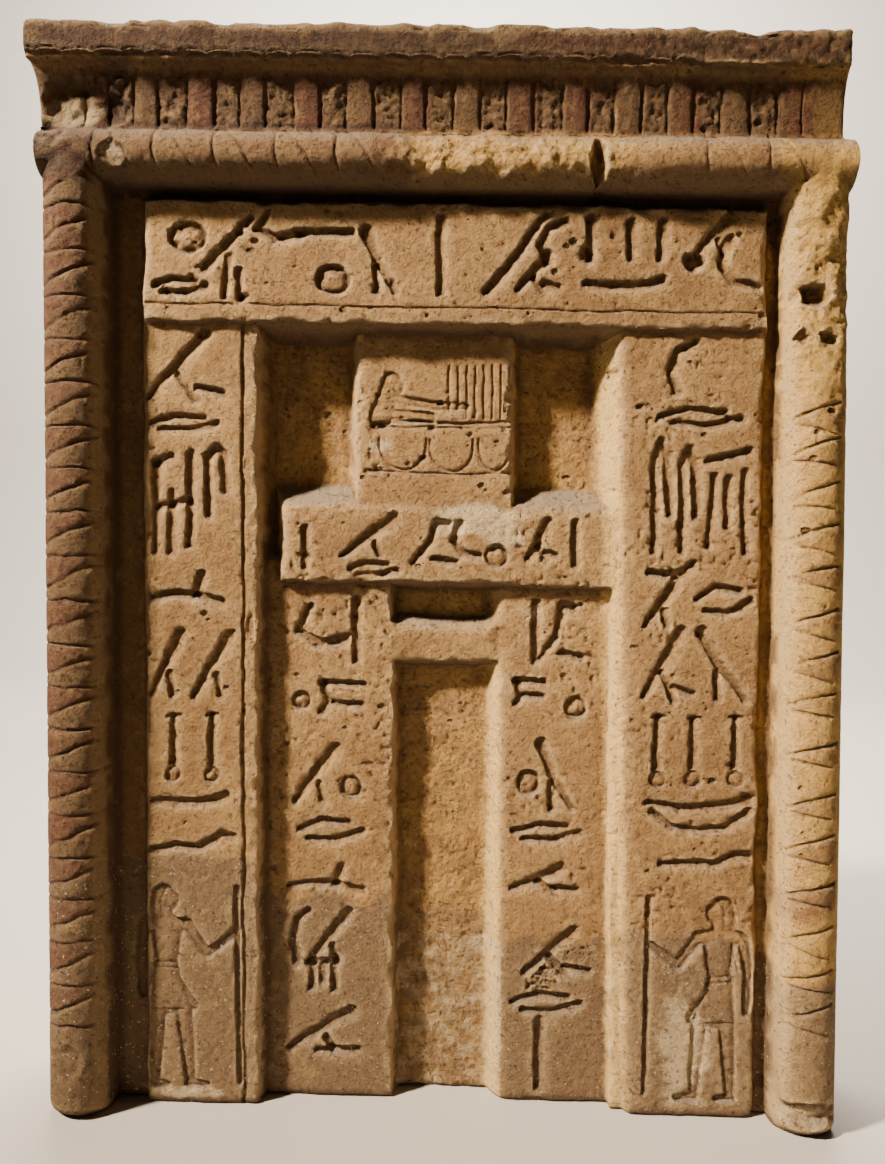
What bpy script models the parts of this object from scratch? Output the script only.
"""False door: one limestone slab with a cavetto cornice, a corded torus roll, stepped jambs and a niche.

Metres, +Z up. The carved front faces -Y and the slab stands on its underside at Z = 0.
The origin is at the middle of the underside of the bounding box.
Levels are measured towards the viewer from the faces of the outer jambs.
"""

import math
import random

import bpy
import bmesh
from mathutils import Vector

# Heights, stacked from the underside to the top
NICHE_HEIGHT = 0.447
DRUM_HEIGHT = 0.041
DRUM_GAP = 0.037
INNER_LINTEL_HEIGHT = 0.080
PANEL_LEDGE = 0.014
PANEL_HEIGHT = 0.157
LINTEL_HEIGHT = 0.116
TOP_MARGIN = 0.013
ROLL_HEIGHT = 0.048
CAVETTO_HEIGHT = 0.058
FASCIA_HEIGHT = 0.034

# Widths, from the left edge to the right edge
ROLL_WIDTH = 0.058
LEFT_MARGIN = 0.033
LEFT_JAMB_WIDTH = 0.096
BEAD_WIDTH = 0.015
INNER_LEFT_WIDTH = 0.133
NICHE_WIDTH = 0.107
INNER_RIGHT_WIDTH = 0.114
RIGHT_JAMB_WIDTH = 0.138
RIGHT_MARGIN = 0.016

# The offering panel and the inner lintel, from the left edge of the recess
PANEL_INSET = 0.096
PANEL_WIDTH = 0.155
INNER_LINTEL_INSET = 0.022

# Levels in front of the outer jamb faces, and depths behind them
FASCIA_PROUD = 0.040
CAVETTO_PROUD = 0.022
ROLL_CENTRE = 0.012
ROLL_PROUD = 0.037
LINTEL_PROUD = 0.007
BEAD_DEPTH = 0.001
MARGIN_DEPTH = 0.008
INNER_LINTEL_DEPTH = 0.009
PANEL_DEPTH = 0.013
INNER_JAMB_DEPTH = 0.017
DRUM_DEPTH = 0.022
NICHE_DEPTH = 0.040
BACK_DEPTH = 0.097

# The ends of the cornice, and how far the sides lean to the right on the way down
LEFT_FLARE = 0.008
RIGHT_SETBACK = 0.009
LEAN = 0.0155
RIGHT_JAMB_SPREAD = 0.014

# Tool work
WALL_SLOPE = 0.22
STEEP_SLOPE = 0.60
EDGE_WEAR = 0.003
UPPER_WEAR_DROP = 0.105
UPPER_WEAR_SPREAD = 0.09
UPPER_WEAR_DEPTH = 0.011
TOP_WEAR_START = 0.329
TOP_WEAR_LENGTH = 0.220
TOP_WEAR_DEPTH = 0.006
STROKE_WIDTH = 0.0055
STROKE_DEPTH = 0.0028
FINE_WIDTH = 0.0040
FINE_DEPTH = 0.0020
STROKE_LIFT = 0.0015
ROLL_LIFT = 0.0026
SHARP_TURN = 0.70
RING_SIDES = 8
LEAF_PITCH = 0.0266
LASHING_PITCH = 0.0412
TOP_LASHING_PITCH = 0.063
LASHING_FOOT = 0.092
ROLL_SIDES = 12
CAVETTO_STEPS = 4
LEAF_STEPS = 2
BEDDING = 0.012

STONE_COLOUR = (0.46, 0.33, 0.19, 1.0)

# Heights above the underside
drum_foot = NICHE_HEIGHT
drum_top = drum_foot + DRUM_HEIGHT
inner_lintel_foot = drum_top + DRUM_GAP
inner_lintel_top = inner_lintel_foot + INNER_LINTEL_HEIGHT
panel_foot = inner_lintel_top + PANEL_LEDGE
lintel_foot = panel_foot + PANEL_HEIGHT
lintel_top = lintel_foot + LINTEL_HEIGHT
roll_foot = lintel_top + TOP_MARGIN
roll_top = roll_foot + ROLL_HEIGHT
roll_middle = roll_foot + ROLL_HEIGHT / 2
lip_foot = roll_top + CAVETTO_HEIGHT
door_top = lip_foot + FASCIA_HEIGHT

# Places across the front, measured from the middle of the two rolls
RECESS_WIDTH = INNER_LEFT_WIDTH + NICHE_WIDTH + INNER_RIGHT_WIDTH
DOOR_WIDTH = (
    2 * ROLL_WIDTH + LEFT_MARGIN + LEFT_JAMB_WIDTH + BEAD_WIDTH
    + RECESS_WIDTH + RIGHT_JAMB_WIDTH + RIGHT_MARGIN
)
left_edge = -DOOR_WIDTH / 2
right_edge = DOOR_WIDTH / 2
field_left = left_edge + ROLL_WIDTH
field_right = right_edge - ROLL_WIDTH
jamb_left = field_left + LEFT_MARGIN
bead_left = jamb_left + LEFT_JAMB_WIDTH
recess_left = bead_left + BEAD_WIDTH
niche_left = recess_left + INNER_LEFT_WIDTH
niche_right = niche_left + NICHE_WIDTH
recess_right = niche_right + INNER_RIGHT_WIDTH
jamb_right = recess_right + RIGHT_JAMB_WIDTH
panel_left = recess_left + PANEL_INSET
panel_right = panel_left + PANEL_WIDTH

# The lean turns the slab into a slight parallelogram about its middle height
lean_height = door_top / 2
lowest_x = left_edge - LEFT_FLARE - LEAN * (door_top - lean_height)
highest_x = right_edge + LEAN * lean_height
centre_x = (lowest_x + highest_x) / 2
centre_y = (BACK_DEPTH - FASCIA_PROUD) / 2


def place(x, level, z):
    """A point of the design as a point of the finished slab."""
    return Vector((x + LEAN * (lean_height - z) - centre_x, -level - centre_y, z))


def clear_scene():
    for old in list(bpy.data.objects):
        bpy.data.objects.remove(old, do_unlink=True)


def make_object(name, bm):
    mesh = bpy.data.meshes.new(name)
    bm.to_mesh(mesh)
    bm.free()
    made = bpy.data.objects.new(name, mesh)
    bpy.context.scene.collection.objects.link(made)
    return made


def block(x0, x1, z0, z1, back, front, slopes, wear=EDGE_WEAR):
    """A block with its front at one level. slopes widen it at the back, for left, right, foot and top."""
    left, right, foot, top = (slope * (front - back) for slope in slopes)
    bm = bmesh.new()
    corners = [(x0, z0, left, foot), (x1, z0, right, foot), (x1, z1, right, top), (x0, z1, left, top)]
    signs = [(-1, -1), (1, -1), (1, 1), (-1, 1)]
    rear = []
    for (x, z, dx, dz), (sx, sz) in zip(corners, signs):
        rear.append(bm.verts.new(place(x + sx * dx, back, z + sz * dz)))
    near = [bm.verts.new(place(x, front, z)) for x, z, dx, dz in corners]
    bm.faces.new(rear)
    face = bm.faces.new(near)
    for i in range(4):
        j = (i + 1) % 4
        bm.faces.new((rear[i], rear[j], near[j], near[i]))
    if wear:
        bmesh.ops.bevel(bm, geom=list(face.edges), offset=wear, segments=1, affect="EDGES", profile=0.6)
    bmesh.ops.recalc_face_normals(bm, faces=bm.faces)
    return bm


def pocket(x0, x1, z0, z1, floor, mouth, slopes):
    """A cutter for a sunk field whose walls splay towards the viewer."""
    return block(x0, x1, z0, z1, mouth, floor, [-slope for slope in slopes], wear=0)


def cavetto_level(z):
    """The hollow curve of the cornice, upright at its foot and flaring to the lip."""
    t = min(max((z - roll_top) / CAVETTO_HEIGHT, 0.0), 1.0)
    return CAVETTO_PROUD + (FASCIA_PROUD - CAVETTO_PROUD) * (1 - math.sqrt(1 - 0.94 * t * t))


def cornice_spread(z):
    """How much of its flare an end of the cornice has reached, all of it from the lip up."""
    if z >= lip_foot:
        return 1.0
    return (cavetto_level(z) - CAVETTO_PROUD) / (FASCIA_PROUD - CAVETTO_PROUD)


def body_profile():
    """The slab from the side: level and height, from the back of the foot round to the front."""
    shoulder = roll_top - ROLL_HEIGHT / 4
    points = [(-BACK_DEPTH, -BEDDING), (-BACK_DEPTH, door_top)]
    points += [(FASCIA_PROUD - EDGE_WEAR, door_top), (FASCIA_PROUD, door_top - EDGE_WEAR)]
    points += [(FASCIA_PROUD, lip_foot)]
    for step in range(CAVETTO_STEPS + 1):
        z = lip_foot - EDGE_WEAR - (CAVETTO_HEIGHT - EDGE_WEAR) * step / CAVETTO_STEPS
        points.append((cavetto_level(z), z))
    front = ROLL_CENTRE - EDGE_WEAR
    points += [(CAVETTO_PROUD, shoulder), (front, shoulder), (front, -BEDDING)]
    return points


def slab():
    """The body of the slab, with the ends of its cornice spread by the same hollow curve."""
    bm = bmesh.new()
    side = EDGE_WEAR / 3
    rings = []
    for end, x in ((-1, left_edge + side), (1, right_edge - side)):
        ring = []
        for level, z in body_profile():
            flare = 0.0
            if z > roll_top - ROLL_HEIGHT / 3:
                flare = -(LEFT_FLARE + side) * cornice_spread(z) if end < 0 else -RIGHT_SETBACK
            ring.append(bm.verts.new(place(x + flare, level, z)))
        rings.append(ring)
    count = len(rings[0])
    for i in range(count):
        j = (i + 1) % count
        bm.faces.new((rings[0][i], rings[0][j], rings[1][j], rings[1][i]))
    bm.faces.new(rings[0])
    bm.faces.new(list(reversed(rings[1])))
    bmesh.ops.recalc_face_normals(bm, faces=bm.faces)
    return bm


def ellipse(half_across, half_deep, sides):
    turns = [2 * math.pi * (i + 0.5) / sides for i in range(sides)]
    scale = 1 / math.cos(math.pi / sides)
    return [(half_across * math.cos(a) * scale, half_deep * math.sin(a)) for a in turns]


def tube(stations):
    """A roll from one ring of points for each station."""
    bm = bmesh.new()
    rings = [[bm.verts.new(point) for point in station] for station in stations]
    for low, high in zip(rings, rings[1:]):
        for i in range(len(low)):
            j = (i + 1) % len(low)
            bm.faces.new((low[i], low[j], high[j], high[i]))
    bm.faces.new(rings[0])
    bm.faces.new(list(reversed(rings[-1])))
    bmesh.ops.recalc_face_normals(bm, faces=bm.faces)
    return bm


def roll_wear(side, z):
    """How far the front of an upright roll has weathered back at this height."""
    if side < 0:
        return 0.0
    below = (roll_foot - UPPER_WEAR_DROP - z) / UPPER_WEAR_SPREAD
    lumps = 1 + 0.35 * math.sin(z * 95)
    return UPPER_WEAR_DEPTH * math.exp(-below ** 2) * lumps


def side_roll(side):
    """One upright roll, from the foot to the middle of the top roll."""
    middle = side * (DOOR_WIDTH - ROLL_WIDTH) / 2
    reach = ROLL_PROUD - ROLL_CENTRE
    steps = 2 if side < 0 else 12
    stations = []
    for step in range(steps + 1):
        z = -BEDDING + (roll_middle + ROLL_HEIGHT / 6 + BEDDING) * step / steps
        worn = roll_wear(side, z)
        ring = []
        for dx, dl in ellipse(ROLL_WIDTH / 2, reach, ROLL_SIDES):
            front = max(dl, 0.0) / reach
            ring.append(place(middle + dx, ROLL_CENTRE + dl - worn * front, z))
        stations.append(ring)
    return tube(stations)


def top_roll_wear(x):
    """The battered middle stretch of the top roll."""
    along = (x - left_edge - TOP_WEAR_START) / TOP_WEAR_LENGTH
    if along < 0 or along > 1:
        return 0.0
    lumps = 1 + 0.4 * math.sin(x * 210)
    return TOP_WEAR_DEPTH * math.sin(math.pi * along) ** 0.5 * lumps


def top_roll():
    reach = ROLL_PROUD - ROLL_CENTRE
    inset = 0.002
    steps = 16
    stations = []
    for step in range(steps + 1):
        x = left_edge + inset + (DOOR_WIDTH - 2 * inset) * step / steps
        worn = top_roll_wear(x)
        ring = []
        for dz, dl in ellipse(ROLL_HEIGHT / 2, reach, ROLL_SIDES):
            front = max(dl, 0.0) / reach
            ring.append(place(x, ROLL_CENTRE + dl - worn * front, roll_middle + dz))
        stations.append(ring)
    return tube(stations)


def lean_edge(bm, x_at, shift):
    """Slides the edges near one upright line sideways, more towards the foot."""
    for vert in bm.verts:
        design_x = vert.co.x + centre_x - LEAN * (lean_height - vert.co.z)
        if abs(design_x - x_at) < 0.02:
            fall = 1 - (vert.co.z + BEDDING) / (lintel_foot + BEDDING)
            vert.co.x += shift * min(max(fall, 0.0), 1.0)
    return bm


def groove(bm, path, normals, width, depth, closed=False, lift=STROKE_LIFT):
    """Adds a V-shaped cutter that follows a path on the surface."""
    count = len(path)
    rings = []
    for i, (point, normal) in enumerate(zip(path, normals)):
        before = path[i - 1] if i > 0 or closed else point
        after = path[(i + 1) % count] if i < count - 1 or closed else point
        along = (after - before).normalized()
        across = along.cross(normal).normalized()
        stretch = 1.0
        if before != point and after != point:
            stretch = 1 / max((point - before).normalized().dot(along), 0.5)
        half = width / 2 * (1 + lift / depth) * stretch
        top = point + normal * lift
        bottom = point - normal * depth
        rings.append([bm.verts.new(top - across * half), bm.verts.new(top + across * half),
                      bm.verts.new(bottom)])
    last = count if closed else count - 1
    for i in range(last):
        low, high = rings[i], rings[(i + 1) % count]
        for a in range(3):
            b = (a + 1) % 3
            bm.faces.new((low[a], low[b], high[b], high[a]))
    if not closed:
        bm.faces.new(list(reversed(rings[0])))
        bm.faces.new(rings[-1])


def split_at_corners(path):
    """Cuts a path into runs at its sharp corners, as a chisel is set down afresh there."""
    runs = [[path[0]]]
    for before, point, after in zip(path, path[1:], path[2:]):
        runs[-1].append(point)
        if (point - before).normalized().dot((after - point).normalized()) < SHARP_TURN:
            runs.append([point])
    runs[-1].append(path[-1])
    return runs


class Chisel:
    """Cutters for the carving. A run of strokes joins the first cutter that has nothing near it."""

    def __init__(self):
        self.cutters = []

    def cutter_for(self, run, reach):
        low = [min(point[i] for point in run) - reach for i in range(3)]
        high = [max(point[i] for point in run) + reach for i in range(3)]
        for bm, taken in self.cutters:
            clear = all(any(high[i] < other_low[i] or low[i] > other_high[i] for i in range(3))
                        for other_low, other_high in taken)
            if clear:
                taken.append((low, high))
                return bm
        self.cutters.append((bmesh.new(), [(low, high)]))
        return self.cutters[-1][0]


def carve(chisel, points, level, width=STROKE_WIDTH, depth=STROKE_DEPTH, closed=False):
    """A stroke on a flat face, given by places across and up the face."""
    path = [place(x, level, z) for x, z in points]
    runs = [path] if closed else split_at_corners(path)
    for run in runs:
        groove(chisel.cutter_for(run, width), run, [Vector((0, -1, 0))] * len(run), width, depth, closed)


def circle(x, z, radius, sides=RING_SIDES):
    turns = [2 * math.pi * i / sides for i in range(sides)]
    return [(x + radius * math.cos(a), z + radius * math.sin(a)) for a in turns]


def arc(x, z, radius_x, radius_z, start, stop, steps):
    turns = [math.radians(start + (stop - start) * i / steps) for i in range(steps + 1)]
    return [(x + radius_x * math.cos(a), z + radius_z * math.sin(a)) for a in turns]


# Generic strokes in a cell one wide and one high. They are tool marks and spell nothing.
MOTIFS = {
    "slant": [[(0.10, 0.05), (0.90, 0.95)]],
    "back": [[(0.10, 0.95), (0.90, 0.05)]],
    "forked": [[(0.05, 0.10), (0.80, 0.95)], [(0.95, 0.55), (0.62, 0.30), (0.70, 0.02)]],
    "bar": [[(0.02, 0.50), (0.98, 0.50)]],
    "twin": [[(0.04, 0.72), (0.96, 0.66)], [(0.10, 0.26), (0.92, 0.32)]],
    "post": [[(0.50, 0.02), (0.50, 0.98)]],
    "posts": [[(0.30, 0.02), (0.30, 0.98)], [(0.72, 0.06), (0.72, 0.90)]],
    "gate": [[(0.15, 0.02), (0.18, 0.92), (0.55, 0.99), (0.85, 0.88), (0.84, 0.02)]],
    "hook": [[(0.15, 0.92), (0.70, 0.80), (0.55, 0.42), (0.15, 0.10)]],
    "steps": [[(0.04, 0.88), (0.42, 0.74), (0.38, 0.34), (0.96, 0.12)]],
    "peak": [[(0.05, 0.10), (0.48, 0.92), (0.95, 0.15)]],
    "comb": [[(0.05, 0.86), (0.95, 0.92)], [(0.20, 0.74), (0.16, 0.06)], [(0.52, 0.70), (0.52, 0.20)],
             [(0.84, 0.76), (0.86, 0.02)]],
    "box": [[(0.10, 0.82), (0.88, 0.88), (0.84, 0.30), (0.30, 0.22)]],
    "wave": [[(0.00, 0.62), (0.26, 0.34), (0.58, 0.52), (1.00, 0.40)]],
    "bowl": [[(0.02, 0.86), (0.26, 0.30), (0.52, 0.16), (0.78, 0.30), (0.98, 0.90)]],
}


def sign(chisel, motif, x0, x1, z0, z1, level):
    """One generic mark in its cell."""
    wide, high = x1 - x0, z1 - z0
    if motif == "ring":
        radius = 0.42 * min(wide, high)
        carve(chisel, circle((x0 + x1) / 2, (z0 + z1) / 2, radius), level, FINE_WIDTH, closed=True)
        return
    if motif == "pendant":
        radius = 0.24 * min(wide, high)
        middle = (x0 + x1) / 2
        carve(chisel, circle(middle, z0 + radius + FINE_WIDTH, radius), level, FINE_WIDTH, closed=True)
        carve(chisel, [(middle, z0 + 3 * radius + FINE_WIDTH), (middle, z1)], level)
        return
    for stroke in MOTIFS[motif]:
        carve(chisel, [(x0 + u * wide, z0 + v * high) for u, v in stroke], level)


def row(chisel, marks, x0, x1, z0, z1, level):
    """A row of marks that share the width of their panel."""
    pitch = (x1 - x0) / len(marks)
    gap = 0.09 * pitch
    for i, motif in enumerate(marks):
        if motif != "blank":
            sign(chisel, motif, x0 + i * pitch + gap, x0 + (i + 1) * pitch - gap, z0, z1, level)


def column(chisel, rows, x0, x1, z_top, z_bottom, level):
    """Rows stacked down a jamb. Each row gives its share of the height and its marks."""
    total = sum(share for share, marks in rows)
    z = z_top
    for share, marks in rows:
        high = (z_top - z_bottom) * share / total
        row(chisel, marks, x0, x1, z - 0.88 * high, z - 0.10 * high, level)
        z -= high


OUTER_LEFT_ROWS = [
    (68, ["forked", "hook"]), (38, ["twin"]), (108, ["comb", "gate"]), (52, ["steps", "post"]),
    (74, ["slant", "slant"]), (72, ["pendant", "pendant"]), (24, ["bar"]), (36, ["wave"]),
]
OUTER_RIGHT_ROWS = [
    (64, ["blank", "hook"]), (38, ["twin"]), (112, ["gate", "post", "comb"]), (62, ["forked", "twin"]),
    (70, ["steps", "back"]), (76, ["pendant", "pendant", "pendant"]), (34, ["bowl"]), (26, ["wave"]),
]
INNER_LEFT_ROWS = [
    (66, ["hook", "post"]), (42, ["blank", "box"]), (62, ["slant", "ring"]), (34, ["twin"]),
    (36, ["steps"]), (90, ["slant", "comb"]), (60, ["forked", "bar"]), (34, ["blank"]),
]
INNER_RIGHT_ROWS = [
    (66, ["peak", "hook"]), (42, ["box", "ring"]), (62, ["ring", "back"]), (30, ["bar"]),
    (62, ["twin", "back"]), (52, ["forked"]), (30, ["bar"]), (74, ["blank", "pendant", "blank"]),
]
INNER_LINTEL_ROW = ["post", "forked", "slant", "hook", "ring", "steps", "post"]
LINTEL_UPPER = ["ring", "slant", "gate", "back", "post", "slant", "forked", "post", "gate", "slant", "hook"]
LINTEL_LOWER = ["bar", "blank", "ring", "blank", "blank", "bar", "blank", "bar", "blank", "bar"]

# A standing figure in outline, in shares of its own height, facing +X, with its feet at zero
FIGURE = [
    [(-0.09, 0.85), (-0.10, 0.95), (-0.04, 1.00), (0.04, 0.99), (0.07, 0.94), (0.06, 0.88), (0.02, 0.85)],
    [(-0.13, 0.42), (-0.16, 0.62), (-0.13, 0.82), (-0.04, 0.84)],
    [(-0.09, 0.45), (-0.08, 0.76)],
    [(0.04, 0.61), (0.09, 0.78), (0.22, 0.63), (0.31, 0.76)],
    [(-0.07, 0.60), (0.06, 0.61)],
    [(-0.08, 0.60), (-0.11, 0.39), (0.21, 0.36), (0.06, 0.58)],
    [(-0.08, 0.37), (-0.11, 0.06), (-0.13, 0.00), (-0.01, 0.00)],
    [(-0.01, 0.37), (-0.05, 0.06)],
    [(0.05, 0.36), (0.08, 0.05), (0.07, 0.00), (0.20, 0.00)],
    [(0.12, 0.35), (0.13, 0.05)],
    [(0.34, 0.02), (0.33, 0.96)],
]
FIGURE_HEIGHT = 0.208
FIGURE_FOOT = 0.016


def standing_figure(chisel, x, facing):
    for outline in FIGURE:
        points = [(x + facing * u * FIGURE_HEIGHT, FIGURE_FOOT + v * FIGURE_HEIGHT) for u, v in outline]
        carve(chisel, points, 0.0)


# The offering panel: a seated figure, an arm, upright loaves and round jars, in shares of the panel
LOAF_COUNT = 7
JAR_COUNT = 3
SEATED = [
    [(0.28, 0.90), (0.18, 0.92), (0.15, 0.78), (0.19, 0.66), (0.10, 0.52), (0.07, 0.44)],
    [(0.27, 0.76), (0.42, 0.66), (0.68, 0.60)],
    [(0.24, 0.50), (0.40, 0.52)],
]


def offering_panel(chisel):
    wide, high = PANEL_WIDTH, PANEL_HEIGHT - 0.045
    low = panel_foot + 0.018
    level = -PANEL_DEPTH
    for outline in SEATED:
        carve(chisel, [(panel_left + u * wide, low + v * high) for u, v in outline], level, FINE_WIDTH)
    for i in range(LOAF_COUNT + 1):
        x = panel_left + wide * (0.60 + 0.36 * i / LOAF_COUNT)
        carve(chisel, [(x, low + 0.56 * high), (x, low + 0.95 * high)], level, FINE_WIDTH, FINE_DEPTH)
    carve(chisel, [(panel_left + u * wide, low + v * high) for u, v in ((0.10, 0.46), (0.50, 0.50), (0.96, 0.49))],
          level, FINE_WIDTH)
    for i in range(JAR_COUNT):
        x = panel_left + wide * (0.30 + 0.26 * i)
        shape = arc(x, low + 0.26 * high, 0.115 * wide, 0.20 * high, 150, 390, 5)
        carve(chisel, shape, level, FINE_WIDTH)
    carve(chisel, [(panel_left + 0.10 * wide, low), (panel_left + 0.96 * wide, low)], level, FINE_WIDTH)


def leaves(bm):
    """The grooves between the upright leaves in the hollow of the cornice."""
    count = int((DOOR_WIDTH - 2 * ROLL_WIDTH / 2) / LEAF_PITCH)
    start = left_edge + ROLL_WIDTH * 0.7
    for i in range(count + 1):
        x = start + i * LEAF_PITCH
        path = []
        normals = []
        for step in range(LEAF_STEPS + 1):
            z = roll_top + 0.006 + (CAVETTO_HEIGHT - 0.016) * step / LEAF_STEPS
            rise = (cavetto_level(z + 0.001) - cavetto_level(z - 0.001)) / 0.002
            path.append(place(x, cavetto_level(z), z))
            normals.append(Vector((0, -1, -rise)).normalized())
        groove(bm, path, normals, FINE_WIDTH, FINE_DEPTH)


def side_lashings(cutters, side):
    """The binding cut into an upright roll: a straight turn and a slanted turn by turns."""
    middle = side * (DOOR_WIDTH - ROLL_WIDTH) / 2
    reach = ROLL_PROUD - ROLL_CENTRE
    half = ROLL_WIDTH / 2
    count = int((roll_foot - LASHING_FOOT) / LASHING_PITCH)
    straight = ((144, 116, 88, 60), 0.0, 0.0)
    slanted = ((124, 96, 68), 0.30 * LASHING_PITCH, 0.42 * LASHING_PITCH)
    for i in range(count):
        z = LASHING_FOOT + i * LASHING_PITCH
        if roll_wear(side, z + LASHING_PITCH / 2) > 0.004:
            continue
        for bm, (turns, start, rise) in zip(cutters, (straight, slanted)):
            path = []
            normals = []
            for step, turn in enumerate(turns):
                a = math.radians(turn)
                height = z + start + rise * step / (len(turns) - 1)
                level = ROLL_CENTRE + (reach - roll_wear(side, height)) * math.sin(a)
                path.append(place(middle + half * math.cos(a), level, height))
                normals.append(Vector((math.cos(a) / half, -math.sin(a) / reach, 0)).normalized())
            groove(bm, path, normals, FINE_WIDTH, FINE_DEPTH, lift=ROLL_LIFT)


def top_lashings(cutters):
    """The same binding on the top roll, outside its battered stretch."""
    reach = ROLL_PROUD - ROLL_CENTRE
    half = ROLL_HEIGHT / 2
    start = left_edge + ROLL_WIDTH + 0.004
    count = int((DOOR_WIDTH - 2 * ROLL_WIDTH) / TOP_LASHING_PITCH)
    straight = (0.0, 0.0)
    slanted = (0.12 * TOP_LASHING_PITCH, 0.45 * TOP_LASHING_PITCH)
    for i in range(count + 1):
        x = start + i * TOP_LASHING_PITCH
        for bm, (shift, run) in zip(cutters, (straight, slanted)):
            if top_roll_wear(x) > 0 or top_roll_wear(x + shift + run) > 0 or x + shift + run > field_right:
                continue
            path = []
            normals = []
            for step, turn in enumerate((46, 18, -10, -38)):
                a = math.radians(turn)
                level = ROLL_CENTRE + reach * math.cos(a)
                path.append(place(x + shift + run * step / 3, level, roll_middle + half * math.sin(a)))
                normals.append(Vector((0, -math.cos(a) / reach, math.sin(a) / half)).normalized())
            groove(bm, path, normals, FINE_WIDTH, FINE_DEPTH, lift=ROLL_LIFT)


def chip(bm, x, level, z, size, stretch, seed):
    """A lump of irregular outline that takes a break out of an edge."""
    rng = random.Random(seed)
    made = bmesh.ops.create_icosphere(bm, subdivisions=1, radius=size)
    centre = place(x, level, z)
    for vert in made["verts"]:
        rough = 0.78 + 0.44 * rng.random()
        vert.co = Vector((vert.co.x * stretch[0], vert.co.y * stretch[1], vert.co.z * stretch[2])) * rough
        vert.co += centre


# Chips out of the foot: place from the left edge, level of the face and size
FOOT_CHIP_STRETCH = (3.0, 0.9, 0.9)
FOOT_CHIPS = [
    (0.019, ROLL_PROUD, 0.012), (0.084, -MARGIN_DEPTH, 0.012), (0.234, -INNER_JAMB_DEPTH, 0.010),
    (0.374, -NICHE_DEPTH, 0.014), (0.484, -INNER_JAMB_DEPTH, 0.009), (0.599, 0.0, 0.009),
]


def breaks():
    """Cutters for the broken corner of the cornice, the notch and the pit in the rolls and the chipped foot."""
    bm = bmesh.new()
    notch = left_edge + TOP_WEAR_START + 0.87 * TOP_WEAR_LENGTH
    right_roll = right_edge - ROLL_WIDTH / 2
    chip(bm, left_edge - 0.004, CAVETTO_PROUD + 0.006, roll_top + 0.020, 0.020, (1.3, 0.8, 1.5), 3)
    chip(bm, notch, ROLL_PROUD + 0.004, roll_middle - 0.010, 0.017, (0.55, 1.0, 1.5), 5)
    chip(bm, right_roll - 0.030, ROLL_PROUD + 0.002, roll_foot - 0.099, 0.013, (1.0, 1.0, 1.0), 7)
    chip(bm, right_roll - 0.025, ROLL_PROUD - 0.002, 0.030, 0.022, (1.3, 0.8, 0.8), 8)
    for i, (inset, level, size) in enumerate(FOOT_CHIPS):
        chip(bm, left_edge + inset, level + 0.004, -0.002, size, FOOT_CHIP_STRETCH, 20 + i)
    return bm


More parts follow.
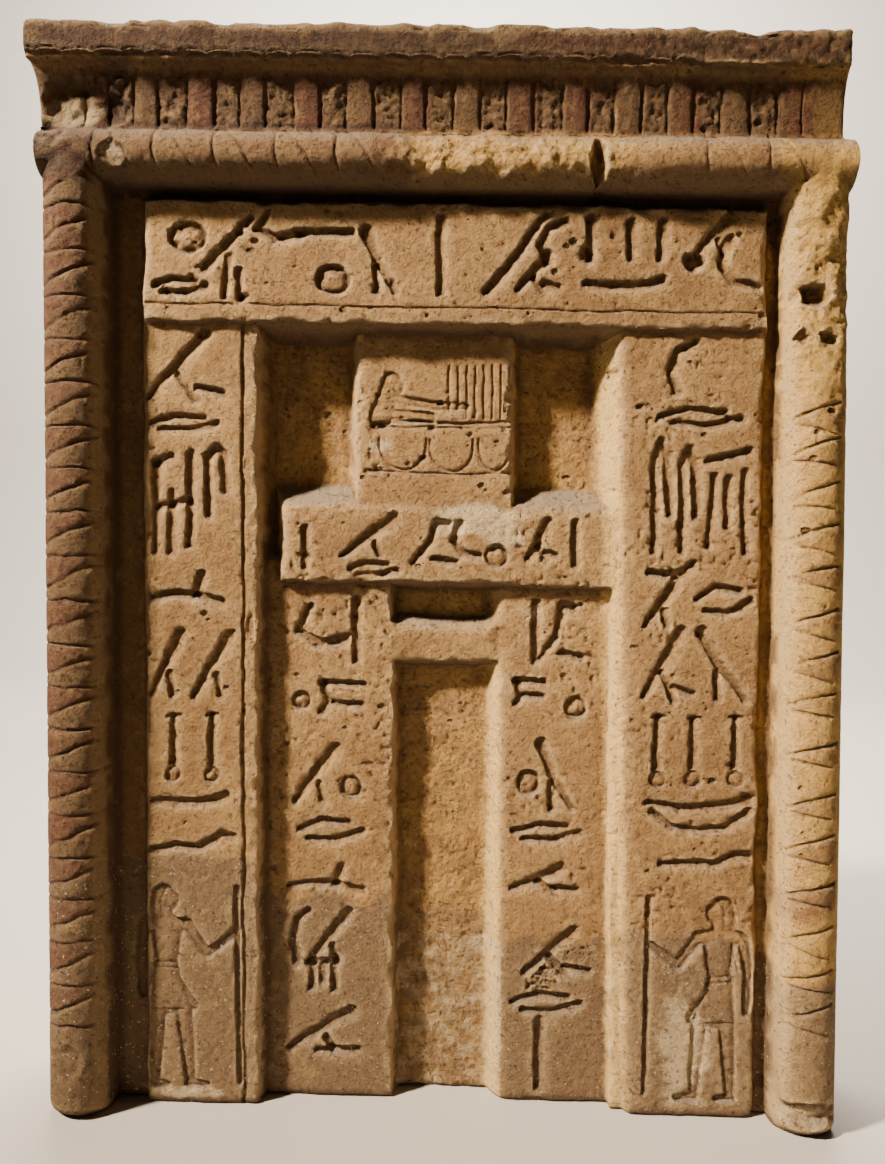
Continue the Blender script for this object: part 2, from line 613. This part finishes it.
def build():
    clear_scene()
    stone = bpy.data.materials.new("limestone")
    stone.use_nodes = True
    shader = stone.node_tree.nodes["Principled BSDF"]
    shader.inputs["Base Color"].default_value = STONE_COLOUR
    shader.inputs["Roughness"].default_value = 0.9

    door = make_object("false_door", slab())
    door.data.materials.append(stone)

    def combine(operation, name, bm):
        tool = make_object(name, bm)
        tool.hide_render = True
        tool.display_type = "WIRE"
        modifier = door.modifiers.new(name, "BOOLEAN")
        modifier.operation = operation
        modifier.solver = "EXACT"
        modifier.object = tool

    below = -BEDDING * 1.5
    front = 2 * FASCIA_PROUD
    cut, add = "DIFFERENCE", "UNION"

    # The field is sunk between the rolls, and the recess is sunk in the field
    combine(cut, "cut_field", pocket(field_left + 0.001, field_right - 0.001, below, roll_middle,
                                     -MARGIN_DEPTH, front, (0.03, 0.03, 0, 0)))
    combine(cut, "cut_recess", pocket(recess_left + 0.002, recess_right - 0.004, below, lintel_foot + 0.004,
                                      -NICHE_DEPTH, front, (0.04, 0.04, 0, 0.04)))
    combine(add, "roll_left", side_roll(-1))
    combine(add, "roll_right", side_roll(1))
    combine(add, "roll_top", top_roll())

    # Outer jambs and the bead on the left one
    rear = -NICHE_DEPTH - 0.01
    combine(add, "jamb_left", block(jamb_left, bead_left - 0.001, below, lintel_foot + 0.010, rear, 0.0,
                                    (WALL_SLOPE, 0.0, 0, 0)))
    combine(add, "bead", block(bead_left + 0.002, recess_left, below, lintel_foot + 0.011, rear, -BEAD_DEPTH,
                               (0.06, WALL_SLOPE, 0, 0)))
    right_jamb = block(recess_right, jamb_right, below, lintel_foot + 0.012, rear, 0.0005,
                       (STEEP_SLOPE, WALL_SLOPE, 0, 0))
    combine(add, "jamb_right", lean_edge(right_jamb, recess_right, RIGHT_JAMB_SPREAD))

    # Inside the recess
    combine(add, "inner_left", block(recess_left - 0.006, niche_left, below - 0.001, inner_lintel_foot + 0.02,
                                     rear - 0.001, -INNER_JAMB_DEPTH, (0, WALL_SLOPE, 0, 0)))
    combine(add, "inner_right", block(niche_right, recess_right + 0.012, below - 0.002,
                                      inner_lintel_foot + 0.02, rear - 0.002, -INNER_JAMB_DEPTH,
                                      (STEEP_SLOPE, 0, 0, 0)))
    combine(add, "drum", block(niche_left - 0.02, niche_right + 0.03, drum_foot, drum_top, rear - 0.003,
                               -DRUM_DEPTH, (0, 0, WALL_SLOPE, WALL_SLOPE)))
    combine(cut, "cut_gap", pocket(niche_left - 0.004, niche_right - 0.012, drum_top, inner_lintel_top,
                                   -NICHE_DEPTH + 0.001, front / 4, (0.1, 0.1, 0, 0)))
    combine(add, "inner_lintel", block(recess_left + INNER_LINTEL_INSET, recess_right + 0.01,
                                       inner_lintel_foot, inner_lintel_top, rear - 0.004,
                                       -INNER_LINTEL_DEPTH, (0.35, 0, WALL_SLOPE, 0.7)))
    combine(add, "panel", block(panel_left, panel_right, panel_foot - 0.03, lintel_foot + 0.02, rear - 0.005,
                                -PANEL_DEPTH, (0.35, WALL_SLOPE, 0, 0)))
    combine(add, "lintel", block(jamb_left + 0.002, jamb_right + 0.001, lintel_foot, lintel_top, rear - 0.006,
                                 LINTEL_PROUD, (WALL_SLOPE, WALL_SLOPE, WALL_SLOPE, WALL_SLOPE)))

    combine(cut, "cut_breaks", breaks())

    # Carving
    leaf_grooves = bmesh.new()
    leaves(leaf_grooves)
    lashings = [bmesh.new(), bmesh.new()]
    for side in (-1, 1):
        side_lashings(lashings, side)
    top_lashings(lashings)
    combine(cut, "cut_leaves", leaf_grooves)
    for i, cutter in enumerate(lashings):
        combine(cut, f"cut_lashings_{i}", cutter)

    texts = Chisel()
    margin = 0.006
    figure_head = FIGURE_FOOT + FIGURE_HEIGHT
    jamb_top = lintel_foot - 0.012
    column(texts, OUTER_LEFT_ROWS, jamb_left + margin, bead_left - margin, jamb_top, figure_head, 0.0)
    column(texts, OUTER_RIGHT_ROWS, recess_right + 0.028, jamb_right - margin, jamb_top, figure_head, 0.0)
    inner_top = inner_lintel_foot - 0.010
    column(texts, INNER_LEFT_ROWS, recess_left + 0.022, niche_left - 0.012, inner_top, 0.012, -INNER_JAMB_DEPTH)
    column(texts, INNER_RIGHT_ROWS, niche_right + 0.010, recess_right - 0.026, inner_top, 0.012,
           -INNER_JAMB_DEPTH)
    row(texts, INNER_LINTEL_ROW, recess_left + INNER_LINTEL_INSET + margin, recess_right - 0.030,
        inner_lintel_foot + 0.012, inner_lintel_top - 0.014, -INNER_LINTEL_DEPTH)
    band_top = lintel_foot + 0.022
    row(texts, LINTEL_UPPER, jamb_left + 0.012, jamb_right - 0.012, band_top + 0.034, lintel_top - 0.012,
        LINTEL_PROUD)
    row(texts, LINTEL_LOWER, jamb_left + 0.012, jamb_right - 0.012, band_top + 0.002, band_top + 0.030,
        LINTEL_PROUD)
    carve(texts, [(jamb_left + 0.006, lintel_foot + 0.017), (jamb_right - 0.008, lintel_foot + 0.015)],
          LINTEL_PROUD)
    standing_figure(texts, (jamb_left + bead_left) / 2 - 0.030, 1)
    standing_figure(texts, (recess_right + jamb_right) / 2 + 0.042, -1)
    offering_panel(texts)
    for i, (cutter, taken) in enumerate(texts.cutters):
        combine(cut, f"cut_carving_{i}", cutter)

    # The underside is dressed flat
    combine(cut, "cut_foot", block(2 * left_edge, 2 * right_edge, -6 * BEDDING, 0.0, -3 * BACK_DEPTH,
                                   3 * BACK_DEPTH, (0, 0, 0, 0), wear=0))


build()
